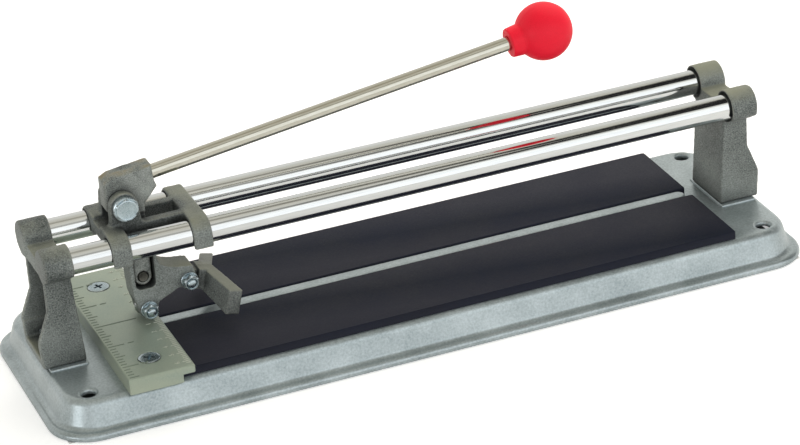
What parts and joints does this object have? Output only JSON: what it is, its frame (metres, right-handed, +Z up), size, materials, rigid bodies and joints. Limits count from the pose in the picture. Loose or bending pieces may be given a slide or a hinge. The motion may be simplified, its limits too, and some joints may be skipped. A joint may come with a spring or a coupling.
{
  "type": "tile cutter",
  "caption": "Hand tile cutter: pressed tray with twin rails on end castings, a sliding carriage, a ball-ended lever, a scoring wheel and a V-shaped breaker foot.",
  "frame": {"origin": "centre of the tray on the plane that it rests on", "axes": "+X along the rails away from the ruler stop, +Y to the rear, +Z up"},
  "size_m": [0.45, 0.143, 0.1612],
  "materials": {
    "tray_paint": "glossy silver-grey hammer paint",
    "mat_rubber": "matt black rubber",
    "ruler_alloy": "satin grey-green plate with etched graduations",
    "grey_casting": "sand-cast, grainy grey",
    "chrome_rail": "polished chrome",
    "nickel_rod": "warm nickel plate",
    "red_plastic": "satin red moulded ball",
    "brass_insert": "turned insert inside the ball",
    "zinc_steel": "bright zinc-plated fasteners",
    "dark_steel": "dark oiled steel",
    "wheel_steel": "ground tungsten-carbide coloured wheel"
  },
  "bodies": {
    "base": {"base_plate": "tray_paint", "front_mat": "mat_rubber", "rear_mat": "mat_rubber", "ruler_stop": "ruler_alloy", "ruler_screws": "zinc_steel", "ruler_washers": "zinc_steel", "ruler_nuts": "zinc_steel", "left_bracket": "grey_casting", "right_bracket": "grey_casting", "bracket_bolts": "zinc_steel", "bracket_washers": "zinc_steel", "bracket_nut_washers": "zinc_steel", "bracket_nuts": "zinc_steel", "front_rail": "chrome_rail", "rear_rail": "chrome_rail"},
    "carriage": {"carriage": "grey_casting", "pivot_bolt": "zinc_steel", "pivot_washer": "zinc_steel", "pivot_nut": "zinc_steel"},
    "lever": {"lever_head": "grey_casting", "lever_rod": "nickel_rod", "ball_knob": "red_plastic", "knob_insert": "brass_insert", "wheel_holder": "grey_casting", "holder_pin": "dark_steel", "wheel_bolt": "zinc_steel", "wheel_washers": "zinc_steel", "wheel_nut": "zinc_steel", "breaker_bolt": "zinc_steel", "breaker_washers": "zinc_steel", "breaker_nut": "zinc_steel"},
    "wheel": {"scoring_wheel": "wheel_steel"},
    "foot": {"breaker_foot": "grey_casting"}
  },
  "joints": [
    {"name": "carriage_slide", "type": "slide", "parent": "base", "child": "carriage", "axis": [1, 0, 0], "range_m": [-0.018, 0.275]},
    {"name": "lever_pivot", "type": "hinge", "parent": "carriage", "child": "lever", "pos_m": [-0.16, 0, 0.1025], "axis": [0, -1, 0], "range_deg": [-5.5, 22]},
    {"name": "wheel_spin", "type": "hinge", "parent": "lever", "child": "wheel", "pos_m": [-0.1513, 0, 0.0358], "axis": [0, 1, 0], "continuous": true},
    {"name": "foot_swing", "type": "hinge", "parent": "lever", "child": "foot", "pos_m": [-0.127, 0, 0.0476], "axis": [0, 1, 0], "range_deg": [-8, 2]}
  ]
}
